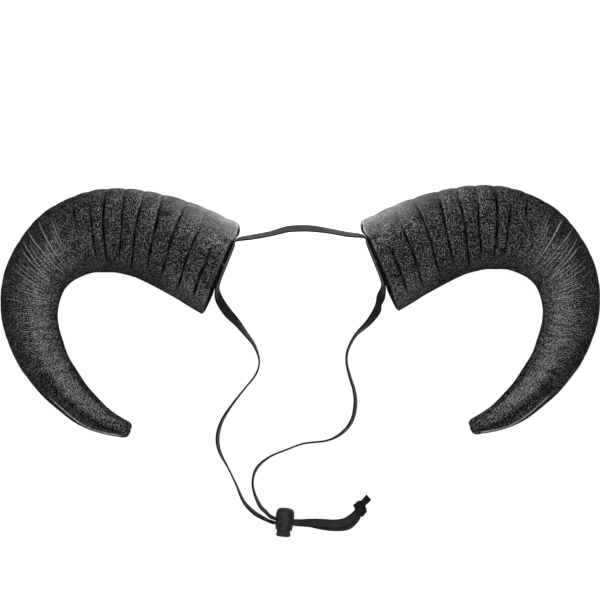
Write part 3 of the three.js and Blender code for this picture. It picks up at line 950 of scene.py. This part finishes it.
def cut_cross_hole(piece, low, high):
    """Cuts the slot for the elastic right through a lathed piece, along its X axis."""
    outline = slot_outline(low, high)
    ends = (-HOLE_REACH / 2, HOLE_REACH / 2)
    grid = np.array([[(end, y, z) for y, z in outline] for end in ends])
    cutter = make_piece("cutter", *join_grids(grid))
    cut = piece.modifiers.new("hole", "BOOLEAN")
    cut.object = cutter
    cut.operation = "DIFFERENCE"
    cut.solver = "EXACT"
    graph = bpy.context.evaluated_depsgraph_get()
    mesh = bpy.data.meshes.new_from_object(piece.evaluated_get(graph))
    piece.modifiers.clear()
    piece.data = mesh
    mesh.name = piece.name
    cutter_mesh = cutter.data
    bpy.data.objects.remove(cutter)
    bpy.data.meshes.remove(cutter_mesh)


def lock_piece(name, node, body, rings, press, material):
    """A lathed piece of the lock, with its cross hole made longer by the press."""
    piece = make_piece(name, *join_grids(rings), body)
    reach = LOCK_STRAP_WIDTH / 2 + HOLE_GAP
    cut_cross_hole(piece, HOLE_HEIGHT - reach - press, HOLE_HEIGHT + reach)
    piece.data.transform(Matrix.Translation(LOCK_PLACE) @ Matrix.Rotation(LOCK_TURN, 4, "Z"))
    piece.data.shade_smooth()
    piece.data.set_sharp_from_angle(angle=SHARP_ANGLE)
    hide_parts(node)
    return dress(piece, material)


def smooth_profile(rows):
    return [tuple(row) for row in spline(rows, (len(rows) - 1) * PROFILE_STEPS)]


def flutes(angles, height):
    """Shallow grip flutes round the button's head."""
    low, high, fade = BUTTON_HEAD[2][1], BUTTON_HEAD[-1][1], BUTTON_FLUTE_FADE
    share = between(height, (low - fade, low + fade, high - fade, high))
    return -BUTTON_FLUTE_DEPTH * share * (0.5 - 0.5 * np.cos(BUTTON_FLUTES * angles))


def make_lock(material):
    bore = [(AXIS_RADIUS, BORE_TOP), (BORE_RADIUS, BORE_TOP), (BORE_RADIUS, BARREL_PROFILE[0][1])]
    rings = lathe_points(bore + smooth_profile(BARREL_PROFILE) + [(AXIS_RADIUS, BARREL_TOP)])
    barrel = lock_piece("lock_barrel", "cord_lock_barrel", BODY, rings, 0.0, material)
    dish = [(AXIS_RADIUS, BUTTON_HEAD[0][1] + BUTTON_DISH)]
    stem_heights = np.linspace(BUTTON_HEAD[-1][1], BUTTON_TOP, STEM_STEPS + 1)[1:]
    stem = [(BUTTON_RADIUS, height) for height in stem_heights] + [(AXIS_RADIUS, BUTTON_TOP)]
    rings = lathe_points(dish + smooth_profile(BUTTON_HEAD) + stem, flutes)
    button = lock_piece("lock_button", "cord_lock_plunger", PLUNGER_BODY, rings, PRESS, material)
    return barrel, button


# Knot


def core_grid(x, y, z, radii, turn):
    """A round core under the wraps."""
    tilt = np.linspace(CORE_POLE, math.pi - CORE_POLE, CORE_ROWS)[:, None]
    angle = angles_round(CORE_SIDES)[None]
    flat, level = np.sin(tilt), np.cos(tilt) * np.ones_like(angle)
    ball = np.stack([flat * np.cos(angle), flat * np.sin(angle), level], -1) * np.array(radii)
    cos, sin = math.cos(turn), math.sin(turn)
    turned = ball @ np.array([[cos, sin, 0], [-sin, cos, 0], [0, 0, 1]])
    return turned + np.array([x, y, z])


def wrap_band(x, y, z, heading, rise, radius, width, turns, drift):
    """A band wound round an axis, each turn over the one before."""
    heading, rise = math.radians(heading), math.radians(rise)
    level = math.cos(rise)
    axis = np.array([math.cos(heading) * level, math.sin(heading) * level, math.sin(rise)])
    first = unit(np.cross(UP, axis))
    second = np.cross(axis, first)
    share = np.linspace(0, 1, WRAP_STEPS + 1)
    angle = FULL_TURN * turns * (share - 0.5) - math.pi / 2
    outward = first * np.cos(angle)[:, None] + second * np.sin(angle)[:, None]
    reach = radius + STRAP_THICKNESS * (share - 0.5) * WRAP_LIFT
    places = np.array([x, y, z]) + outward * reach[:, None] + axis * (drift * (share - 0.5))[:, None]
    across = np.broadcast_to(axis, outward.shape)
    widths = width * (1 - WRAP_TAPER * smooth(np.abs(share - 0.5), *WRAP_TAPER_RANGE))
    return places, across, outward, widths


def free_end(rows):
    table = spline(rows, FREE_END_STEPS)
    places, width = table[:, :3], table[:, 3]
    return places, *flat_frame(places), width


def make_knot(material):
    grids, weave, selvedge = [], [], []
    bands = [wrap_band(*row) for row in KNOT_WRAPS] + [free_end(UPPER_END), free_end(LOWER_END)]
    for places, across, face, width in bands:
        grids.append(band_grid(places, across, face, width))
        weave.append(band_weave(places, width))
        selvedge.append(np.maximum(band_selvedge(len(places)), KNOT_SHADE))
    for x, y, z, *radii, turn in KNOT_CORES:
        grids.append(core_grid(x, y, z, radii, math.radians(turn)))
        weave.append(closed_points(grids[-1]))
        selvedge.append(np.ones(len(weave[-1])))
    points, faces = join_grids(*grids)
    points[:, 2] = np.maximum(points[:, 2], 0.0)
    knot = make_piece("elastic_knot", points, faces)
    add_numbers(knot, "weave", np.concatenate(weave))
    add_numbers(knot, "selvedge", np.concatenate(selvedge))
    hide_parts("strap_knot")
    return dress(knot, material)


# Tacks


def make_tacks(material):
    """Short loops of thread over the upper edge of the elastic, at each base."""
    turn = np.linspace(*TACK_TURN, TACK_STEPS)[:, None] * math.pi
    around = angles_round(TACK_SIDES)[None, :, None]
    for name, x, y, heading in TACKS:
        heading = math.radians(heading)
        along = np.array([math.cos(heading), math.sin(heading), 0.0])
        side = np.array([-math.sin(heading), math.cos(heading), 0.0])
        outward = side * np.cos(turn) + UP * np.sin(turn)
        loop = (outward * TACK_RADIUS)[:, None] + TACK_THREAD * (
            outward[:, None] * np.cos(around) + along * np.sin(around)
        )
        loops = []
        for index in range(TACK_LOOPS):
            shift = along * TACK_PITCH * (index - (TACK_LOOPS - 1) / 2)
            loops.append(loop + np.array([x, y, TACK_HEIGHT]) + shift)
        dress(make_piece(name, *join_grids(*loops)), material)


# Horns


def horn_frame(distance):
    """Middle, run, outward direction and half width of the horn at distances from its base."""
    share = distance / HORN_LENGTH
    inside = np.clip(share, 0, 1)
    table = catmull(HORN_ROWS, inside)
    step = 1e-4
    ahead = catmull(HORN_ROWS, np.minimum(inside + step, 1))
    behind = catmull(HORN_ROWS, np.maximum(inside - step, 0))
    along = unit((ahead - behind)[..., :2])
    middle = table[..., :2] + along * ((share - inside) * HORN_LENGTH)[..., None]
    outward = np.stack([along[..., 1], -along[..., 0]], -1)
    return middle, along, outward, table[..., 2]


def crease_rows(distance):
    """Depth of the rounded ribs between creases, and the creases' skew, at distances from the base."""
    at, depths, skews = (np.array([row[column] for row in CREASES]) for column in range(3))
    index = np.clip(np.searchsorted(at, distance, side="right") - 1, 0, len(at) - 2)
    share = np.clip((distance - at[index]) / (at[index + 1] - at[index]), 0, 1)
    swell = np.sqrt(4 * share * (1 - share))
    return np.interp(distance, at, depths) * (1 - swell), np.interp(distance, at, skews)


def window(across, inner, outer, fade):
    return between(across, (inner - fade, inner + fade, outer - fade, outer + fade))


def horn_distances():
    """Distances of the rings: closer at the sharp folds and round the bend, where the cover is finest."""
    folds = [at for at, _, _, *sharp in CREASES if sharp]
    distances = [RIM_ROUND]
    while distances[-1] < TIP_START:
        here = distances[-1]
        if min(abs(here - fold) for fold in folds) < FOLD_REACH:
            step = FOLD_RING_STEP
        elif BEND_RANGE[0] < here < BEND_RANGE[2]:
            step = BEND_RING_STEP
        else:
            step = PLAIN_RING_STEP
        distances.append(here + step)
    return np.array(distances)


def waves(count, lengths):
    """Seeded waves: length, lean and bow across the horn, turns round it, and phase."""
    rows = []
    for _ in range(count):
        lean, bow = rng.uniform(-WAVE_LEAN, WAVE_LEAN), rng.uniform(-WAVE_BOW, WAVE_BOW)
        length, turns = rng.uniform(*lengths), rng.integers(*WAVE_TURNS)
        rows.append((length, lean, bow, turns, rng.uniform(0, FULL_TURN)))
    return rows


def rim_corners(across):
    """How far the rim is padded out past the flat base, at shares across the horn."""
    return sum(reach * smooth((across - start) / (full - start), 0, 1) for start, full, reach in RIM_CORNERS)


class Cover:
    """Places on the left horn's cover, the height its folds give them, and their painted light and shade."""

    def __init__(self):
        self.distance, self.angle = np.meshgrid(horn_distances(), angles_round(HORN_SIDES), indexing="ij")
        self.across, self.up = np.cos(self.angle), np.sin(self.angle)
        self.ribs, skew = crease_rows(self.distance)
        wander = sum(
            np.sin(FULL_TURN * self.distance / length + (WANDER_RATE + turns) * self.across + phase)
            for length, _, _, turns, phase in waves(WANDER_WAVES, WANDER_LENGTHS)
        ) / math.sqrt(WANDER_WAVES)
        wander = FOLD_WANDER * wander * smooth(self.distance, *WANDER_START)
        self.run = self.distance + skew * self.across + wander
        self.run -= rim_corners(self.across) * (1 - smooth(self.distance, *RIM_CORNER_END))
        self.middle, _, self.outward, self.half = horn_frame(self.run)
        self.height = np.full_like(self.run, COVER_SWELL)
        self.fold, self.pale_and_highlight, self.tone, self.smooth = (np.zeros_like(self.run) for _ in range(4))
        self.drawn = self.area(DRAWN_RANGE, DRAWN_ACROSS)

    def area(self, along, across):
        """1 inside a range along the horn and a range across it, fading to 0 outside them."""
        return between(self.run, along) * between(self.across, across)

    # Paints shade into the cover's colour.
    def darken(self, share):
        self.fold = np.maximum(self.fold, np.clip(share, 0, 1))

    # Paints pale lines and highlights into the cover's colour.
    def lighten(self, share):
        self.pale_and_highlight = np.maximum(self.pale_and_highlight, np.clip(share, 0, 1))

    def from_angle(self, angle):
        """Distance round the horn from a line along it."""
        turned = (self.angle - angle + math.pi) % FULL_TURN - math.pi
        return turned * self.half

    def points(self):
        inner = smooth(self.across, *INNER_FADE)
        outer = 1 - (1 - OUTER_DEPTH) * smooth(self.across, *OUTER_FADE)
        size = self.half - self.ribs * inner * outer + self.height
        return laid_out(self.middle, self.outward, size * self.across, DEPTH_SHARE * size * self.up)


def hill(value, width):
    return np.exp(-((value / width) ** 2))


def fold_creases(cover):
    """Sharp, wavering folds along the creases of the thick half, painted in shade."""
    middle, swing = FOLD_WAVER
    for at, _, _, *sharp in CREASES:
        if sharp:
            rate, phase = rng.uniform(*FOLD_WAVER_RATES), rng.uniform(*PHASES)
            share = middle + swing * np.sin(cover.across * rate + phase)
            share = share * hill(cover.distance - at, FOLD_WIDTH) * window(cover.across, *sharp, FOLD_FADE)
            cover.height -= FOLD_DEPTH * share
            cover.darken(FOLD_SHADE * share)


def stretch_dashes():
    """Seeded short stretch lines between the long ones, in the same columns."""
    dashes = []
    for _ in range(DASH_COUNT):
        at = rng.uniform(*DASH_RANGE)
        middle = rng.normal(*DASH_MIDDLE)
        length = rng.uniform(*DASH_LENGTHS)
        lean = crease_rows(np.array(at))[1] + rng.uniform(-DASH_LEAN, DASH_LEAN)
        dashes.append((at, lean, 0.0, middle - length, middle + length, rng.uniform(*DASH_STRENGTHS)))
    return dashes


def stretch_bend(cover):
    """Raised pale lines where the cover stretches round the bend, each with a groove behind it in painted
    shade.
    """
    for at, lean, bow, inner, outer, strength in STRETCH_LINES + stretch_dashes():
        beyond = cover.run - (at + lean * cover.across + bow * cover.across**2)
        reach = strength * window(cover.across, inner, outer, STRETCH_FADE)
        line = reach * hill(beyond, STRETCH_WIDTH)
        groove = reach * hill(beyond - STRETCH_GROOVE * STRETCH_WIDTH, STRETCH_WIDTH)
        cover.height += STRETCH_HEIGHT * (line - STRETCH_GROOVE_DEPTH * groove)
        cover.lighten(line)
        cover.darken(groove)


def wrinkle_thin_half(cover):
    for at, lean, inner, outer, depth in SOFT_WRINKLES:
        share = depth * hill(cover.run - at - lean * cover.across, WRINKLE_WIDTH)
        share *= window(cover.across, inner, outer, FOLD_FADE)
        cover.height -= WRINKLE_DEPTH * share
        cover.darken(WRINKLE_SHADE * share)


def ripple_cover(cover):
    """Fine ripples across the horn, stronger round the bend, and broad soft lumps of the padding."""
    ripples = sum(
        np.sin(FULL_TURN * (cover.run + lean * cover.across + bow * cover.across**2) / length + phase)
        for length, lean, bow, _, phase in waves(RIPPLE_WAVES, RIPPLE_LENGTHS)
    ) / math.sqrt(RIPPLE_WAVES)
    height = RIPPLE_HEIGHT + BEND_RIPPLE_HEIGHT * between(cover.run, BEND_RANGE)
    cover.height += ripples * height * window(cover.across, *RIPPLE_ENDS, FOLD_FADE)
    lumps = sum(
        np.sin(FULL_TURN * cover.run / length + turns * cover.angle + phase)
        for length, _, _, turns, phase in waves(LUMP_WAVES, LUMP_LENGTHS)
    ) / math.sqrt(LUMP_WAVES)
    cover.height += LUMP_HEIGHT * lumps * smooth(cover.run, *LUMP_START)


def fill_cover(cover):
    for along, across, change in PADDING_AREAS:
        cover.height += change * cover.area(along, across)


def paint_cover_light(cover):
    for along, across, change, *down in PAINTED_LIGHT_AREAS:
        under = smooth(-cover.up, *down) if down else 1.0
        cover.tone += change * cover.area(along, across) * under
    for along, across, share in SHEEN_AND_SMOOTH_AREAS:
        cover.smooth = np.maximum(cover.smooth, share * cover.area(along, across))


def shape_thin_end(cover):
    """Valleys along the thin end in painted shade, and the raised outer edge with a painted highlight."""
    for first, last, width, depth, start, full in (OUTER_VALLEY, INNER_VALLEY):
        middle = first + (last - first) * smooth(cover.run, *VALLEY_BEND)
        share = hill(cover.across - middle, width) * smooth(cover.run, start, full)
        cover.height -= depth * share
        cover.tone += VALLEY_PAINTED_SHADE * share
    share_across = EDGE_SHARES[0] + (EDGE_SHARES[1] - EDGE_SHARES[0]) * smooth(cover.run, *EDGE_RANGE)
    beside = cover.from_angle(np.arccos(share_across))
    reach = between(cover.run, EDGE_FADE)
    edge = reach * hill(beside, EDGE_WIDTH)
    cover.height += EDGE_HEIGHT * edge
    cover.lighten(EDGE_PAINTED_HIGHLIGHT * edge)
    cover.darken(reach * hill(beside + EDGE_GROOVE, EDGE_WIDTH))


def sew_seam(cover):
    seam = hill(cover.from_angle(SEAM_ANGLE), SEAM_WIDTH) * between(cover.run, SEAM_RANGE)
    stitch = smooth(np.sin(FULL_TURN * cover.run / STITCH_PITCH), *STITCH_RISE)
    cover.height -= SEAM_DEPTH * seam
    cover.darken(SEAM_SHADE * seam * (1 - stitch))
    cover.lighten(STITCH_PALE * seam * stitch)


def finish_base(cover):
    """The lip round the rim, with a painted highlight, and the tuck at the elastic, painted in shade."""
    lip = 1 - smooth(cover.distance, *RIM_LIP_END)
    cover.height += RIM_LIP * lip
    cover.lighten(RIM_PAINTED_HIGHLIGHT * lip)
    tuck = hill(cover.across - TUCK_SHARE, TUCK_WIDTH) * (1 - smooth(cover.distance, *TUCK_RANGE))
    tuck *= cover.up > 0
    cover.height -= TUCK_DEPTH * tuck
    cover.darken(tuck)


def laid_out(middle, outward, sideways, height):
    flat = middle + outward * sideways[..., None]
    return np.concatenate([flat, height[..., None]], -1)


def base_rings():
    """Rings of the flat base, from its middle to the rounded rim, slightly dished."""
    angles = angles_round(HORN_SIDES)
    across, up = np.cos(angles), np.sin(angles)
    middle, along, outward, half = horn_frame(np.zeros(HORN_SIDES))
    rings = []
    for share in np.linspace(BASE_START, RIM_SHARE, BASE_RINGS):
        askew = share * BASE_SKEW * across - share**BASE_CORNER_POWER * rim_corners(across)
        askew = askew + BASE_DISH * (1 - smooth(share, BASE_DISH_START, RIM_SHARE))
        size = share * half
        place = middle + along * askew[:, None]
        rings.append(laid_out(place, outward, size * across, DEPTH_SHARE * size * up))
    return np.array(rings)


def tip_rings(last):
    """Rings that close the blunt, ragged tip, with the cover gathered in small pleats."""
    angles = angles_round(HORN_SIDES)
    _, along, _, _ = horn_frame(np.array(TIP_START))
    middle = last.mean(0)
    run = np.array([*along, 0.0])
    ragged = sum(np.sin(turns * angles + rng.uniform(*PHASES)) for turns in TIP_RAGGED_WAVES)
    rings = []
    for turn in np.linspace(*TIP_TURNS, TIP_RINGS) * math.pi / 2:
        gather = TIP_PLEAT_DEPTH * math.sin(turn) ** TIP_PLEAT_POWER
        pleat = 1 - gather * (1 + np.cos(TIP_PLEATS * angles + TIP_PLEAT_PHASE))
        ring = middle + (last - middle) * (math.cos(turn) ** TIP_BLUNTNESS * pleat)[:, None]
        ahead = TIP_LENGTH * math.sin(turn) + TIP_RAGGED * ragged * math.sin(2 * turn)
        rings.append(ring + run * ahead[:, None])
    return np.array(rings)


def lay_down(points):
    """Leans the horn over as it lies, and flattens it a little where it meets the floor."""
    lean = np.array(Matrix.Rotation(LEAN_Y, 3, "Y") @ Matrix.Rotation(LEAN_X, 3, "X"))
    laid = points @ lean.T
    laid[..., 2] += -laid[..., 2].min() - SETTLE
    laid[..., 2] = np.maximum(laid[..., 2], 0.0)
    return laid


def over_all_rings(values, base, tip, base_value, rim_value):
    """Numbers of the long surface, with one value on the base, one at its rim and none on the tip."""
    everywhere = np.pad(values, ((base, tip), (0, 0)))
    everywhere[:base] = base_value
    everywhere[base - 1] = rim_value
    return np.append(everywhere, [base_value, 0.0])


def make_horns(material):
    cover = Cover()
    for shape in (
        fold_creases, stretch_bend, wrinkle_thin_half, ripple_cover, fill_cover,
        paint_cover_light, shape_thin_end, sew_seam, finish_base,
    ):
        shape(cover)
    surface = cover.points()
    base, tip = base_rings(), tip_rings(surface[-1])
    grid = np.concatenate([base, surface, tip])
    left = lay_down(closed_points(grid))
    right = left * np.array([-1, 1, 1]) + np.array([0, RIGHT_HORN_SHIFT, 0])
    faces = grid_faces(*grid.shape[:2])
    for name, points, node in (
        ("left_horn_cover", left, "horn_left"),
        ("right_horn_cover", right, "horn_right"),
    ):
        horn = make_piece(name, points, faces)
        for shade in HORN_SHADES:
            ends = (BASE_PAINTED_SHADE, RIM_PAINTED_SHADE) if shade == "fold" else (0.0, 0.0)
            values = getattr(cover, shade)
            add_numbers(horn, shade, over_all_rings(values, len(base), len(tip), *ends))
        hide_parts(node)
        dress(horn, material)


make_camera()
elastic = woven_elastic()
plastic = lock_plastic()
strap, strap_path = make_strap(elastic)
barrel, button = make_lock(plastic)
knot = make_knot(elastic)
make_tacks(tack_thread())
make_horns(horn_fabric())
make_floor()
make_lights()
